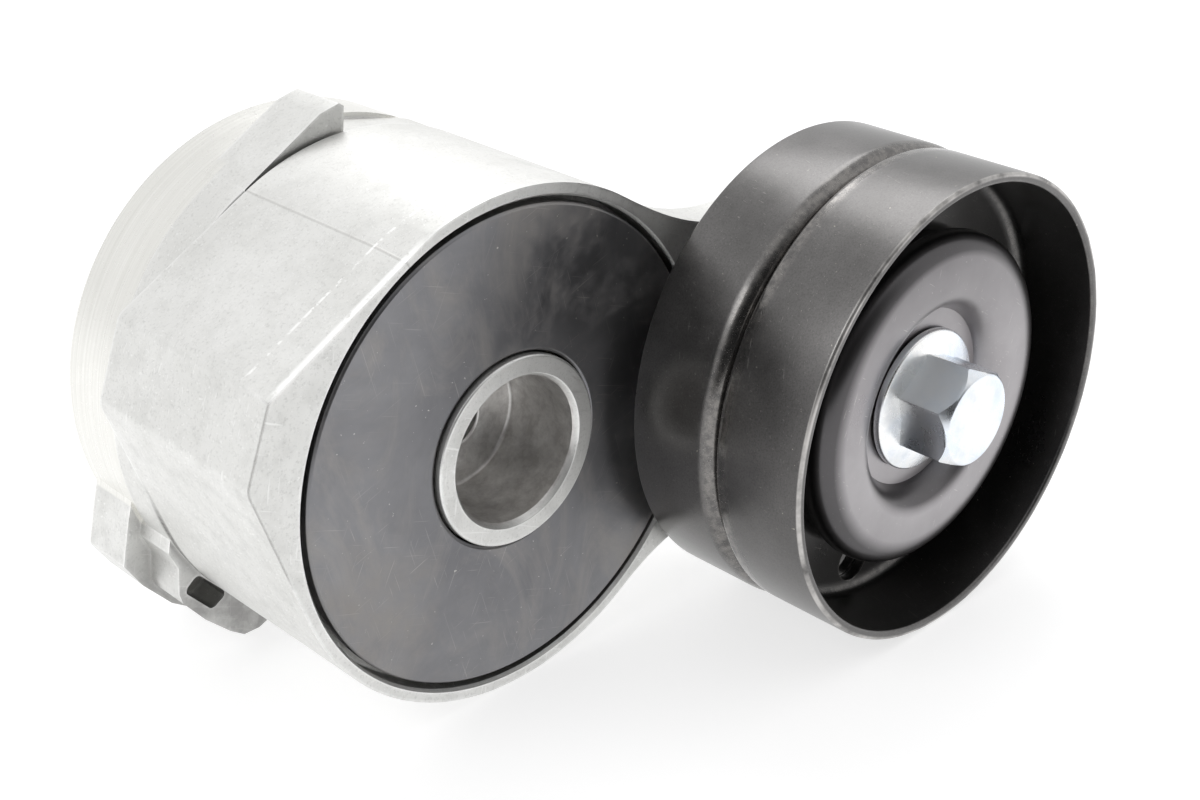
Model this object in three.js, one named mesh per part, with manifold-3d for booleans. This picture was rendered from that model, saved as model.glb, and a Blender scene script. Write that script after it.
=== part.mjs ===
// Spring-loaded belt tensioner with a two-piece pressed idler pulley.
//
// Frame, in millimetres: the origin is on the arm's pivot axis at the rear mounting face, Y runs along
// the pivot axis with the front of the tensioner towards -Y, +Z is up, and the pulley stands off
// towards +X. Turned pieces are drawn as (radius, y) profiles, flat ones as (x, z) outlines.

import * as THREE from "three";
import { mergeVertices } from "three/addons/utils/BufferGeometryUtils.js";
import Module from "manifold-3d";

const wasm = await Module();
wasm.setup();

const GAP = 0.3;
const DEG = Math.PI / 180;

// Pivot tube and spring case (the rear casting)
const CASE_R = 40;
const CASE_FRONT_Y = -21.3;
const CASE_FLOOR = 7;
const CASE_WALL_INNER_R = 36.6;
const TUBE_R = 14.95;
const TUBE_FRONT_Y = -58.6;
const SOCKET_R = 11.4;
const SOCKET_FLOOR_Y = -44.4;
const MOUNT_HOLE_R = 4.3;
const PAD_R = 22;
const RIM_PAD_R = 34;
const REAR_RECESS = 2;

// Arm (the front casting)
const CUP_R = 40.2;
const CUP_FRONT_Y = -57.9;
const CUP_REAR_Y = -22;
const RECESS_R = 38.2;
const RECESS_FLOOR_Y = -53;
const FRONT_WALL_Y = -49;
const CAVITY_R = 34.4;
const SKIRT_R = 36.2;
const SKIRT_END_Y = -13;
const ARM_HUB_R = 20.4;
const ARM_HUB_BORE_R = 17.2;
const ARM_HUB_END_Y = -12;
const EAR_UPPER = [-41.4, 23.2];
const EAR_LOWER = [-46.1, 10.9];
const NECK_LEAVES_AT = 57 * DEG;
const NECK_HANDLE = 14;
const PLATE_REAR_Y = -50;
const PLATE_R = 26;
const BOSS_R = 13;
const BOSS_FRONT_Y = -68.5;
const THREAD_END_Y = -42;
const BOLT_HOLE_R = 5.2;

// Pulley on the arm's end
const PULLEY_X = 59.3;
const PULLEY_Z = -2;
const PULLEY_FRONT_Y = -93.9;
const PULLEY_REAR_Y = -61;
const SEAM_Y = -77.5;
const RIM_FRONT_R = 38;
const RIM_REAR_R = 38.2;
const RIM_WALL = 1.6;
const WEB = 1.7;
const BEND_R = 2.4;
const HUB_R = 25.4;
const HUB_FRONT_Y = -85.2;
const HUB_REAR_Y = -70.8;
const WEB_HOLES = 6;
const WEB_HOLE_R = 3.6;
const WEB_HOLE_PITCH_R = 31.2;
const WEB_HOLE_FIRST = -99 * DEG;

// Ball bearing, 17 x 47 x 14
const BEARING_Y = -77.3;
const BEARING_WIDTH = 14;
const BEARING_BORE_R = 8.5;
const BEARING_R = 23.5;
const INNER_LAND_R = 13.4;
const OUTER_LAND_R = 18.6;
const BALL_R = 4.366;
const BALL_PITCH_R = 16;
const BALLS = 7;
const GROOVE_R = BALL_R + 0.25;
const SEAL_THICKNESS = 1;

// Pieces clamped to the arm's end by the bolt
const SLEEVE_Y = [BEARING_Y - BEARING_WIDTH / 2 + 0.1, BEARING_Y + BEARING_WIDTH / 2 - 0.1];
const SHIELD_FLOOR_Y = -86;
const SHIELD_FACE_Y = -90.2;
const SHIELD_R = 27.3;
const SHIELD_SHEET = 1.3;
const BOLT_SHANK_R = 4.9;
const BOLT_AF = 15;
const BOLT_TOP_Y = -97.3;
const FLANGE_R = 11.6;
const BOLT_TURN = -7 * DEG;

// Locating dowel in the rear face
const DOWEL_R = 3;
const DOWEL_DEPTH = 5;
const DOWEL_OUT = 4;
const DOWEL_X = -28;
const DOWEL_Z = 0;

// Arm swing and its stop: the case's block stands in a gap cut out of the arm's skirt
const ARM_TRAVEL = 60 * DEG;
const STOP_FROM = -100 * DEG;
const STOP_TO = -80 * DEG;
const STOP_CLEARANCE = 0.5 * DEG;

// Torsion spring
const WIRE_R = 3.1;
const COIL_R = 28.5;
const COIL_TURNS = 4.75;
const COIL_STARTS_AT = 20 * DEG;
const COIL_STEPS_PER_TURN = 18;
const ABUTMENT_ANGLE = 14 * DEG;
const ABUTMENT_HEIGHT = 7;

const FINE = 48;
const MEDIUM = 32;
const COARSE = 18;

const CAST = { color: 0xc9c9c6, roughness: 0.55, metalness: 0.9 };
const BLACK_COAT = { color: 0x1b1a1a, roughness: 0.42, metalness: 0.3 };
const BLACK_PLATE = { color: 0x262628, roughness: 0.5, metalness: 0.3 };
const SHIELD_COAT = { color: 0x3a383b, roughness: 0.45, metalness: 0.4 };
const ZINC = { color: 0xcfd6dc, roughness: 0.25, metalness: 1 };
const STEEL = { color: 0xa8aaad, roughness: 0.25, metalness: 1 };
const SPRING_STEEL = { color: 0x4a4a4c, roughness: 0.45, metalness: 0.8 };
const NYLON = { color: 0xd8d2c0, roughness: 0.6, metalness: 0 };
const CAGE_NYLON = { color: 0x3d5a3a, roughness: 0.6, metalness: 0 };
const RUBBER = { color: 0x1c1c1c, roughness: 0.8, metalness: 0 };

// ---------------------------------------------------------------- geometry helpers

// A closed geometry as a manifold solid.
function solid(geometry) {
  const bare = geometry.clone();
  bare.deleteAttribute("normal");
  bare.deleteAttribute("uv");
  const merged = mergeVertices(bare, 1e-4);
  const made = new wasm.Manifold(
    new wasm.Mesh({
      numProp: 3,
      vertProperties: merged.attributes.position.array,
      triVerts: new Uint32Array(merged.index.array),
    }),
  );
  return made;
}

// A manifold solid as a geometry.
function geometryOf(made) {
  const mesh = made.getMesh();
  const geometry = new THREE.BufferGeometry();
  geometry.setAttribute("position", new THREE.BufferAttribute(mesh.vertProperties, 3));
  geometry.setIndex(new THREE.BufferAttribute(mesh.triVerts, 1));
  geometry.computeVertexNormals();
  return geometry;
}

// A ring turned about Y from a (radius, y) profile that doesn't touch the axis.
function turned(profile, segments = FINE) {
  const points = profile.map(([r, y]) => new THREE.Vector2(r, y));
  if (THREE.ShapeUtils.area(points) > 0) points.reverse();
  points.push(points[0].clone());
  return new THREE.LatheGeometry(points.reverse(), segments);
}

// A plain ring between two radii and two heights.
function ring(innerR, outerR, y0, y1, segments = FINE) {
  const profile = [
    [innerR, y0],
    [outerR, y0],
    [outerR, y1],
    [innerR, y1],
  ];
  return turned(profile, segments);
}

// A disc or post on the pivot axis between two heights.
function post(r, y0, y1, segments = FINE) {
  return new THREE.CylinderGeometry(r, r, y1 - y0, segments).translate(0, (y0 + y1) / 2, 0);
}

// An (x, z) outline pushed along Y from y0 to y1.
function prism(shape, y0, y1, curveSegments = 24) {
  const options = { depth: y1 - y0, bevelEnabled: false, curveSegments };
  return new THREE.ExtrudeGeometry(shape, options).rotateX(Math.PI / 2).translate(0, y1, 0);
}

// An (x, z) outline with straight edges.
function polygon(points) {
  return new THREE.Shape(points.map(([x, z]) => new THREE.Vector2(x, z)));
}

// A sector of a ring in the (x, z) plane.
function sector(innerR, outerR, from, to) {
  const shape = new THREE.Shape();
  shape.absarc(0, 0, outerR, from, to, false);
  shape.absarc(0, 0, innerR, to, from, true);
  return shape;
}

// The point at a radius and angle in the (x, z) plane.
function polar(r, angle) {
  return [r * Math.cos(angle), r * Math.sin(angle)];
}

// The angle where a tangent from a point outside a circle touches it; side is +1 or -1.
function tangentAngle([x, z], r, side) {
  return Math.atan2(z, x) + side * Math.acos(r / Math.hypot(x, z));
}

// Points along an arc of a turned profile, both ends included.
function arcPoints(r, y, radius, from, to, steps = 5) {
  return Array.from({ length: steps + 1 }, (_, i) => {
    const angle = from + ((to - from) * i) / steps;
    return [r + radius * Math.cos(angle), y + radius * Math.sin(angle)];
  });
}

// ---------------------------------------------------------------- spring case

// Back plate, wall and pivot tube as one turned profile.
function caseBody() {
  const profile = [
    [MOUNT_HOLE_R, 0],
    [PAD_R, 0],
    [PAD_R + 1, -REAR_RECESS],
    [RIM_PAD_R - 1, -REAR_RECESS],
    [RIM_PAD_R, 0],
    [CASE_R - 1.5, 0],
    [CASE_R, -1.5],
    [CASE_R, CASE_FRONT_Y],
    [CASE_WALL_INNER_R, CASE_FRONT_Y],
    [CASE_WALL_INNER_R, -CASE_FLOOR],
    [TUBE_R + 2, -CASE_FLOOR],
    [TUBE_R, -CASE_FLOOR - 2],
    [TUBE_R, TUBE_FRONT_Y + 0.4],
    [TUBE_R - 0.4, TUBE_FRONT_Y],
    [SOCKET_R + 0.5, TUBE_FRONT_Y],
    [SOCKET_R + 0.1, TUBE_FRONT_Y + 1],
    [SOCKET_R - 0.3, SOCKET_FLOOR_Y],
    [MOUNT_HOLE_R, SOCKET_FLOOR_Y],
  ];
  return solid(turned(profile));
}

// The wedge on top, its flat tangent to the case and ending in a square face.
function wedgeLug() {
  const flatAt = 117.5 * DEG;
  const shape = polygon([
    polar(CASE_R - 2, 122 * DEG),
    polar(CASE_R, flatAt),
    [-4.6, 43.5],
    [-1, 44.4],
    [-0.1, 43.8],
    [-0.5, 38],
  ]);
  return solid(prism(shape, CASE_FRONT_Y, -11));
}

// The foot at the lower left, wider towards the rear, with a square cored pocket in its front face.
function footLug() {
  const front = polygon([
    polar(38, -160 * DEG),
    [-37, -18.6],
    [-35.6, -21.8],
    [-36, -26.4],
    [-35.5, -28.2],
    [-32, -32.7],
    [-27.8, -36.8],
    [-25.3, -38.6],
    [-22.4, -38.6],
    [-20, -37.6],
    polar(38, -112 * DEG),
  ]);
  const rear = polygon([
    polar(38, -166 * DEG),
    [-39, -17],
    [-40.4, -23],
    [-37.6, -27.6],
    [-33, -32.9],
    [-26.4, -37.4],
    [-21.6, -39],
    polar(38, -118 * DEG),
  ]);
  const pocket = polygon([
    polar(40.3, -143.6 * DEG),
    polar(43.6, -143.4 * DEG),
    polar(43.7, -134.3 * DEG),
    polar(40.3, -133.2 * DEG),
  ]);
  const body = solid(prism(front, -20, -11)).add(solid(prism(rear, -12, -2)));
  return body.subtract(solid(prism(pocket, -21, -14)));
}

// The block in the arm's skirt gap that ends the swing both ways.
function stopBlock() {
  const outline = sector(CAVITY_R, CASE_WALL_INNER_R + 1, STOP_FROM, STOP_TO);
  return solid(prism(outline, -20, -CASE_FLOOR + 1, 8));
}

// The shoulder that the spring's rear end pushes on.
function rearAbutment() {
  const from = COIL_STARTS_AT + DEG;
  const outline = sector(25, 31.8, from, from + ABUTMENT_ANGLE);
  return solid(prism(outline, -CASE_FLOOR - ABUTMENT_HEIGHT, -CASE_FLOOR + 1, 6));
}

function springCase() {
  const bore = solid(post(CASE_R - 2, CASE_FRONT_Y - 1, 0));
  const lugs = wedgeLug().add(footLug()).subtract(bore);
  const dowelHole = post(DOWEL_R + GAP, -DOWEL_DEPTH - GAP, 1, COARSE).translate(DOWEL_X, 0, DOWEL_Z);
  const body = caseBody().add(lugs).add(stopBlock()).add(rearAbutment());
  return geometryOf(body.subtract(solid(dowelHole)));
}

// ---------------------------------------------------------------- pieces on the case

function locatingDowel() {
  const profile = [
    [DOWEL_R, -DOWEL_DEPTH],
    [DOWEL_R, DOWEL_OUT - 0.8],
    [DOWEL_R - 0.8, DOWEL_OUT],
  ].map(([r, y]) => new THREE.Vector2(r, y));
  profile.unshift(new THREE.Vector2(0, -DOWEL_DEPTH));
  profile.push(new THREE.Vector2(0, DOWEL_OUT));
  return new THREE.LatheGeometry(profile, COARSE);
}

function frontPlate() {
  const inner = TUBE_R + GAP;
  const outer = RECESS_R - 0.9;
  const front = CUP_FRONT_Y + 0.2;
  const rear = front + 2.2;
  return turned([
    [inner, front],
    [outer - 0.8, front],
    [outer, front + 0.8],
    [outer, rear],
    [inner, rear],
  ]);
}

function frictionDisc() {
  const front = CUP_FRONT_Y + 2.4 + GAP;
  return ring(TUBE_R + 2.4, 35.5, front, RECESS_FLOOR_Y - GAP);
}

// Open-ended sleeve that the spring presses out against the arm's skirt.
function dampingShoe() {
  const outline = sector(COIL_R + WIRE_R + GAP, CAVITY_R - GAP, 50 * DEG, 370 * DEG);
  return prism(outline, -27, -CASE_FLOOR - GAP, 40);
}

function coilPoint(t) {
  const angle = COIL_STARTS_AT - t * COIL_TURNS * 2 * Math.PI;
  const rear = -CASE_FLOOR - GAP - WIRE_R;
  const front = FRONT_WALL_Y + GAP + WIRE_R;
  return new THREE.Vector3(COIL_R * Math.cos(angle), rear + (front - rear) * t, COIL_R * Math.sin(angle));
}

class Coil extends THREE.Curve {
  getPoint(t) {
    return coilPoint(t);
  }
}

function torsionSpring() {
  const section = new THREE.Shape();
  section.absarc(0, 0, WIRE_R, 0, 2 * Math.PI);
  const steps = Math.round(COIL_TURNS * COIL_STEPS_PER_TURN);
  return new THREE.ExtrudeGeometry(section, { steps, curveSegments: 4, extrudePath: new Coil() });
}

// ---------------------------------------------------------------- arm

// The cup's outline with its two-cornered ear, and the neck swept into the pulley plate.
function armOutline() {
  const upper = tangentAngle(EAR_UPPER, CUP_R, -1);
  const lower = tangentAngle(EAR_LOWER, CUP_R, 1);
  const plateAt = 97 * DEG;
  const [cupX, cupZ] = polar(CUP_R, NECK_LEAVES_AT);
  const [alongX, alongZ] = polar(NECK_HANDLE, NECK_LEAVES_AT - Math.PI / 2);
  const [onPlateX, onPlateZ] = polar(PLATE_R, plateAt);
  const [backX, backZ] = polar(NECK_HANDLE, plateAt - Math.PI / 2);
  const x = PULLEY_X + onPlateX;
  const shape = new THREE.Shape();
  shape.absarc(0, 0, CUP_R, NECK_LEAVES_AT, upper, false);
  shape.lineTo(...EAR_UPPER);
  shape.lineTo(...EAR_LOWER);
  shape.absarc(0, 0, CUP_R, lower, 2 * Math.PI - NECK_LEAVES_AT, false);
  const lowZ = PULLEY_Z - onPlateZ;
  shape.bezierCurveTo(cupX + alongX, -cupZ - alongZ, x - backX, lowZ + backZ, x, lowZ);
  shape.absarc(PULLEY_X, PULLEY_Z, PLATE_R, -plateAt, plateAt, false);
  const highZ = PULLEY_Z + onPlateZ;
  shape.bezierCurveTo(x - backX, highZ - backZ, cupX + alongX, cupZ + alongZ, cupX, cupZ);
  return shape;
}

// The cup's own outline, without the neck.
function cupOutline() {
  const shape = new THREE.Shape();
  const from = tangentAngle(EAR_LOWER, CUP_R, 1);
  const to = tangentAngle(EAR_UPPER, CUP_R, -1) + 2 * Math.PI;
  shape.absarc(0, 0, CUP_R, from, to);
  shape.lineTo(...EAR_UPPER);
  shape.lineTo(...EAR_LOWER);
  return shape;
}

// A gusset behind the neck, from the cup's wall down to the pulley plate.
function neckRib(z) {
  const outline = polygon([
    [30, PLATE_REAR_Y - 1],
    [PULLEY_X + 12, PLATE_REAR_Y - 1],
    [PULLEY_X + 10, PLATE_REAR_Y + 2],
    [39, -28],
    [30, -28],
  ]);
  const rib = new THREE.ExtrudeGeometry(outline, { depth: 4, bevelEnabled: false });
  return solid(rib.translate(0, 0, z - 2));
}

// The shoulder that pushes the spring's front end as the arm lifts.
function frontAbutment() {
  const end = COIL_STARTS_AT - COIL_TURNS * 2 * Math.PI;
  const to = end - DEG;
  const outline = sector(25, 31.8, to - ABUTMENT_ANGLE, to);
  return solid(prism(outline, FRONT_WALL_Y - 1, FRONT_WALL_Y + ABUTMENT_HEIGHT, 6));
}

// The part of the skirt that is cut away round the case's stop block.
function skirtGap() {
  const from = STOP_FROM - ARM_TRAVEL - STOP_CLEARANCE;
  const to = STOP_TO + STOP_CLEARANCE;
  return solid(prism(sector(CAVITY_R - 1, SKIRT_R + 1, from, to), CUP_REAR_Y - 0.01, SKIRT_END_Y + 1, 24));
}

function arm() {
  const atPulley = (geometry) => solid(geometry.translate(PULLEY_X, 0, PULLEY_Z));
  const shell = solid(prism(cupOutline(), CUP_FRONT_Y, CUP_REAR_Y, 40))
    .add(solid(prism(armOutline(), CUP_FRONT_Y, PLATE_REAR_Y, 40)))
    .add(solid(post(SKIRT_R, CUP_REAR_Y - 1, SKIRT_END_Y)))
    .add(neckRib(PULLEY_Z + 17))
    .add(neckRib(PULLEY_Z - 17))
    .subtract(skirtGap());
  const hollowed = shell
    .subtract(solid(post(RECESS_R, CUP_FRONT_Y - 1, RECESS_FLOOR_Y)))
    .subtract(solid(post(CAVITY_R, FRONT_WALL_Y, 0)))
    .add(solid(post(ARM_HUB_R, FRONT_WALL_Y - 1, ARM_HUB_END_Y, MEDIUM)))
    .add(frontAbutment())
    .subtract(solid(post(ARM_HUB_BORE_R, CUP_FRONT_Y, 0, MEDIUM)));
  return geometryOf(
    hollowed
      .add(atPulley(post(BOSS_R, BOSS_FRONT_Y, CUP_FRONT_Y + 1, MEDIUM)))
      .add(atPulley(post(11, PLATE_REAR_Y - 1, THREAD_END_Y, MEDIUM)))
      .subtract(atPulley(post(BOLT_HOLE_R, BOSS_FRONT_Y - 1, THREAD_END_Y + 1, COARSE))),
  );
}

// One of the two flanged sleeves pressed into the arm's hub; end is -1 at the front, +1 at the rear.
function pivotBushing(end) {
  const mid = (RECESS_FLOOR_Y + ARM_HUB_END_Y) / 2;
  const bore = TUBE_R + GAP;
  const outer = ARM_HUB_BORE_R - GAP;
  const outside = end < 0 ? RECESS_FLOOR_Y + GAP : ARM_HUB_END_Y - GAP;
  return ring(bore, outer, Math.min(outside, mid + end * 2), Math.max(outside, mid + end * 2), MEDIUM);
}

function thrustWasher() {
  return ring(TUBE_R + 2.5, ARM_HUB_R, ARM_HUB_END_Y + GAP, -CASE_FLOOR - GAP, MEDIUM);
}

// ---------------------------------------------------------------- pulley group, about its own axis

// A pressed half of the pulley. side is -1 for the front half and +1 for the rear one.
function pulleyShell(side) {
  const mate = SEAM_Y + side * 0.15;
  const rimEnd = side < 0 ? PULLEY_FRONT_Y : PULLEY_REAR_Y;
  const rimR = side < 0 ? RIM_FRONT_R : RIM_REAR_R;
  const hubEnd = side < 0 ? HUB_FRONT_Y : HUB_REAR_Y;
  const inside = mate + side * WEB;
  const hubBore = BEARING_R + GAP;
  const outerBend = arcPoints(rimR - BEND_R, mate + side * BEND_R, BEND_R, 0, (-side * Math.PI) / 2, 3);
  const hubBend = arcPoints(hubBore + 1.2, mate + side * 1.2, 1.2, (-side * Math.PI) / 2, -side * Math.PI, 2);
  const profile = [
    [rimR, rimEnd],
    ...outerBend,
    ...hubBend,
    [hubBore, hubEnd],
    [HUB_R, hubEnd],
    [HUB_R, inside + side],
    [HUB_R + 1, inside],
    [rimR - RIM_WALL - 1.2, inside],
    [rimR - RIM_WALL, inside + side * 1.2],
    [rimR - RIM_WALL, rimEnd],
  ];
  let made = solid(turned(profile));
  for (let i = 0; i < WEB_HOLES; i++) {
    const [x, z] = polar(WEB_HOLE_PITCH_R, WEB_HOLE_FIRST + (i * 2 * Math.PI) / WEB_HOLES);
    made = made.subtract(solid(post(WEB_HOLE_R, SEAM_Y - 5, SEAM_Y + 5, COARSE).translate(x, 0, z)));
  }
  return geometryOf(made);
}

function bearingInnerRing() {
  const half = BEARING_WIDTH / 2;
  const reach = Math.acos((BALL_PITCH_R - INNER_LAND_R) / GROOVE_R);
  return turned(
    [
      [BEARING_BORE_R, BEARING_Y - half],
      [INNER_LAND_R, BEARING_Y - half],
      ...arcPoints(BALL_PITCH_R, BEARING_Y, GROOVE_R, Math.PI + reach, Math.PI - reach, 8),
      [INNER_LAND_R, BEARING_Y + half],
      [BEARING_BORE_R, BEARING_Y + half],
    ],
    MEDIUM,
  );
}

function bearingOuterRing() {
  const half = BEARING_WIDTH / 2;
  const reach = Math.acos((OUTER_LAND_R - BALL_PITCH_R) / GROOVE_R);
  return turned(
    [
      [BEARING_R, BEARING_Y - half],
      [BEARING_R, BEARING_Y + half],
      [OUTER_LAND_R, BEARING_Y + half],
      ...arcPoints(BALL_PITCH_R, BEARING_Y, GROOVE_R, reach, -reach, 8),
      [OUTER_LAND_R, BEARING_Y - half],
    ],
    MEDIUM,
  );
}

function bearingSeal(side) {
  const face = BEARING_Y + side * (BEARING_WIDTH / 2 - GAP);
  const back = face - side * SEAL_THICKNESS;
  return ring(INNER_LAND_R + GAP, OUTER_LAND_R - GAP, Math.min(face, back), Math.max(face, back), MEDIUM);
}

function ballCentre(i) {
  const [x, z] = polar(BALL_PITCH_R, Math.PI / 2 + (i * 2 * Math.PI) / BALLS);
  return new THREE.Vector3(x, BEARING_Y, z);
}

// Crown cage: a ring with open pockets that the balls snap into.
function bearingCage() {
  let made = solid(ring(14.3, 17.7, BEARING_Y - 1.4, BEARING_Y + 5.3, MEDIUM));
  for (let i = 0; i < BALLS; i++) {
    const { x, y, z } = ballCentre(i);
    made = made.subtract(solid(new THREE.SphereGeometry(GROOVE_R, 12, 8).translate(x, y, z)));
  }
  return geometryOf(made);
}

function ball() {
  return new THREE.SphereGeometry(BALL_R, 12, 8);
}

// ---------------------------------------------------------------- pieces clamped to the arm's end

function bearingSleeve() {
  return ring(BOLT_HOLE_R, BEARING_BORE_R - GAP, SLEEVE_Y[0], SLEEVE_Y[1], COARSE);
}

// Dished cover over the bearing: flat rim, rounded skirt and a cupped middle.
function frontDustShield() {
  const rise = arcPoints(SHIELD_R - 9, SHIELD_FLOOR_Y, SHIELD_FLOOR_Y - SHIELD_FACE_Y, Math.PI, 1.5 * Math.PI, 4);
  const edge = arcPoints(SHIELD_R - 2, SHIELD_FACE_Y + 2, 2, 1.5 * Math.PI, 2 * Math.PI, 4);
  const skirtEnd = -85.5;
  return turned(
    [
      [BOLT_HOLE_R, SHIELD_FLOOR_Y],
      ...rise,
      ...edge,
      [SHIELD_R, skirtEnd],
      [SHIELD_R - SHIELD_SHEET, skirtEnd],
      [SHIELD_R - SHIELD_SHEET, SHIELD_FACE_Y + SHIELD_SHEET + 1],
      [SHIELD_R - SHIELD_SHEET - 1, SHIELD_FACE_Y + SHIELD_SHEET],
      [SHIELD_R - 8.2, SHIELD_FACE_Y + SHIELD_SHEET],
      [SHIELD_R - 11.6, SHIELD_FLOOR_Y + SHIELD_SHEET],
      [BOLT_HOLE_R, SHIELD_FLOOR_Y + SHIELD_SHEET],
    ],
    FINE,
  );
}

function rearDustShield() {
  return ring(BOLT_HOLE_R, HUB_R - 0.4, -70, BOSS_FRONT_Y - GAP, MEDIUM);
}

// Hexagon flange bolt with a dished end face.
function pulleyBolt() {
  const cornerR = BOLT_AF / 2 / Math.cos(30 * DEG);
  const headY = SHIELD_FLOOR_Y - GAP;
  const hex = new THREE.CylinderGeometry(cornerR, cornerR, headY - BOLT_TOP_Y, 6);
  hex.rotateY(BOLT_TURN).translate(0, (headY + BOLT_TOP_Y) / 2, 0);
  const chamfer = lathed([
    [0, BOLT_TOP_Y],
    [BOLT_AF / 2 - 0.2, BOLT_TOP_Y],
    [cornerR + 0.2, BOLT_TOP_Y + 1],
    [cornerR + 0.2, headY],
    [0, headY],
  ]);
  const flange = lathed([
    [0, headY - 3],
    [cornerR - 0.5, headY - 3],
    [FLANGE_R, headY - 1.1],
    [FLANGE_R, headY],
    [0, headY],
  ]);
  const shank = solid(post(BOLT_SHANK_R, headY - 1, THREAD_END_Y - 2, COARSE));
  return geometryOf(solid(hex).intersect(chamfer).add(flange).add(shank));
}

// A solid turned about Y from a profile that starts and ends on the axis.
function lathed(profile, segments = MEDIUM) {
  const points = profile.map(([r, y]) => new THREE.Vector2(r, y));
  return solid(new THREE.LatheGeometry(points, segments));
}

// ---------------------------------------------------------------- assembly

function piece(name, geometry, finish) {
  const mesh = new THREE.Mesh(geometry, new THREE.MeshStandardMaterial(finish));
  mesh.name = name;
  return mesh;
}

const tensioner = new THREE.Group();
tensioner.add(
  piece("spring_case", springCase(), CAST),
  piece("front_plate", frontPlate(), BLACK_PLATE),
  piece("friction_disc", frictionDisc(), NYLON),
  piece("damping_shoe", dampingShoe(), NYLON),
  piece("thrust_washer", thrustWasher(), NYLON),
  piece("locating_dowel", locatingDowel().translate(DOWEL_X, 0, DOWEL_Z), STEEL),
  piece("torsion_spring", torsionSpring(), SPRING_STEEL),
  piece("arm", arm(), CAST),
  piece("pivot_bushing_front", pivotBushing(-1), NYLON),
  piece("pivot_bushing_rear", pivotBushing(1), NYLON),
);

const idler = new THREE.Group();
idler.position.set(PULLEY_X, 0, PULLEY_Z);
idler.add(
  piece("pulley_front_shell", pulleyShell(-1), BLACK_COAT),
  piece("pulley_rear_shell", pulleyShell(1), BLACK_COAT),
  piece("bearing_inner_ring", bearingInnerRing(), STEEL),
  piece("bearing_outer_ring", bearingOuterRing(), STEEL),
  piece("bearing_seal_front", bearingSeal(-1), RUBBER),
  piece("bearing_seal_rear", bearingSeal(1), RUBBER),
  piece("bearing_cage", bearingCage(), CAGE_NYLON),
  piece("bearing_sleeve", bearingSleeve(), STEEL),
  piece("front_dust_shield", frontDustShield(), SHIELD_COAT),
  piece("rear_dust_shield", rearDustShield(), SHIELD_COAT),
  piece("pulley_bolt", pulleyBolt(), ZINC),
);
for (let i = 0; i < BALLS; i++) {
  const one = piece(`ball_${i + 1}`, ball(), STEEL);
  one.position.copy(ballCentre(i));
  idler.add(one);
}
tensioner.add(idler);

export default tensioner;
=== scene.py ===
"""Belt tensioner: cast arm and spring case, pressed idler pulley, sealed bearing and torsion spring."""

import math

import bmesh
import bpy
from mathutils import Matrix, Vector


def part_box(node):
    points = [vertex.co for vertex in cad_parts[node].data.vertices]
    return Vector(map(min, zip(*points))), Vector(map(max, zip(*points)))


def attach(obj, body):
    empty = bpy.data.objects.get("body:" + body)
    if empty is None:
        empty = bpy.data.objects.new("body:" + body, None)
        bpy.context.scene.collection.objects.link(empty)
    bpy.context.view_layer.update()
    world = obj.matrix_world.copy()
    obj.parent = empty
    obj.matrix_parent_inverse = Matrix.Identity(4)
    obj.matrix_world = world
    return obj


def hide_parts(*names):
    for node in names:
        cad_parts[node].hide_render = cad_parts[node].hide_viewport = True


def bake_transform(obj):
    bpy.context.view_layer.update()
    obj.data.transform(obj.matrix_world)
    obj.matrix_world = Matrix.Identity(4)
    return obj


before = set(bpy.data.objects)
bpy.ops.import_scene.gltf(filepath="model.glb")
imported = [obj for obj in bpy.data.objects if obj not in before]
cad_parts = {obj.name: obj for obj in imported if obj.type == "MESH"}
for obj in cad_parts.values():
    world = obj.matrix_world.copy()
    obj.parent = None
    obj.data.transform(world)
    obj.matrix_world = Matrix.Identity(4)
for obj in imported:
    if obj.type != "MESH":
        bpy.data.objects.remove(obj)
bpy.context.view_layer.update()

MM = 0.001
DEG = math.pi / 180

# ------------------------------------------------------------------ sizes, in millimetres


def box_mm(node):
    """Lowest and highest corner of a CAD node, in millimetres."""
    low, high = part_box(node)
    return low / MM, high / MM


CASE_LOW, CASE_HIGH = box_mm("spring_case")
ARM_LOW, ARM_HIGH = box_mm("arm")
FRONT_SHELL_LOW, FRONT_SHELL_HIGH = box_mm("pulley_front_shell")
REAR_SHELL_LOW, REAR_SHELL_HIGH = box_mm("pulley_rear_shell")
PLATE_LOW, PLATE_HIGH = box_mm("front_plate")
SHIELD_LOW, SHIELD_HIGH = box_mm("front_dust_shield")
REAR_SHIELD_LOW, REAR_SHIELD_HIGH = box_mm("rear_dust_shield")
BOLT_LOW, BOLT_HIGH = box_mm("pulley_bolt")
SPRING_LOW, SPRING_HIGH = box_mm("torsion_spring")
DOWEL_LOW, DOWEL_HIGH = box_mm("locating_dowel")

# The pulley's own axis, parallel to Y
HUB = ((FRONT_SHELL_LOW.x + FRONT_SHELL_HIGH.x) / 2, (FRONT_SHELL_LOW.z + FRONT_SHELL_HIGH.z) / 2)
PIVOT = (0.0, 0.0)

# Spring case
CASE_R = CASE_HIGH.x
CASE_FRONT = -21.3
CASE_FLOOR = -7.0
CASE_BORE = 36.6
BAND_FRONT = -13.4
TUBE_R = 14.95
TUBE_FRONT = CASE_LOW.y
SOCKET_R = 11.4
SOCKET_FLOOR = -44.4
MOUNT_HOLE_R = 4.3

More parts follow.
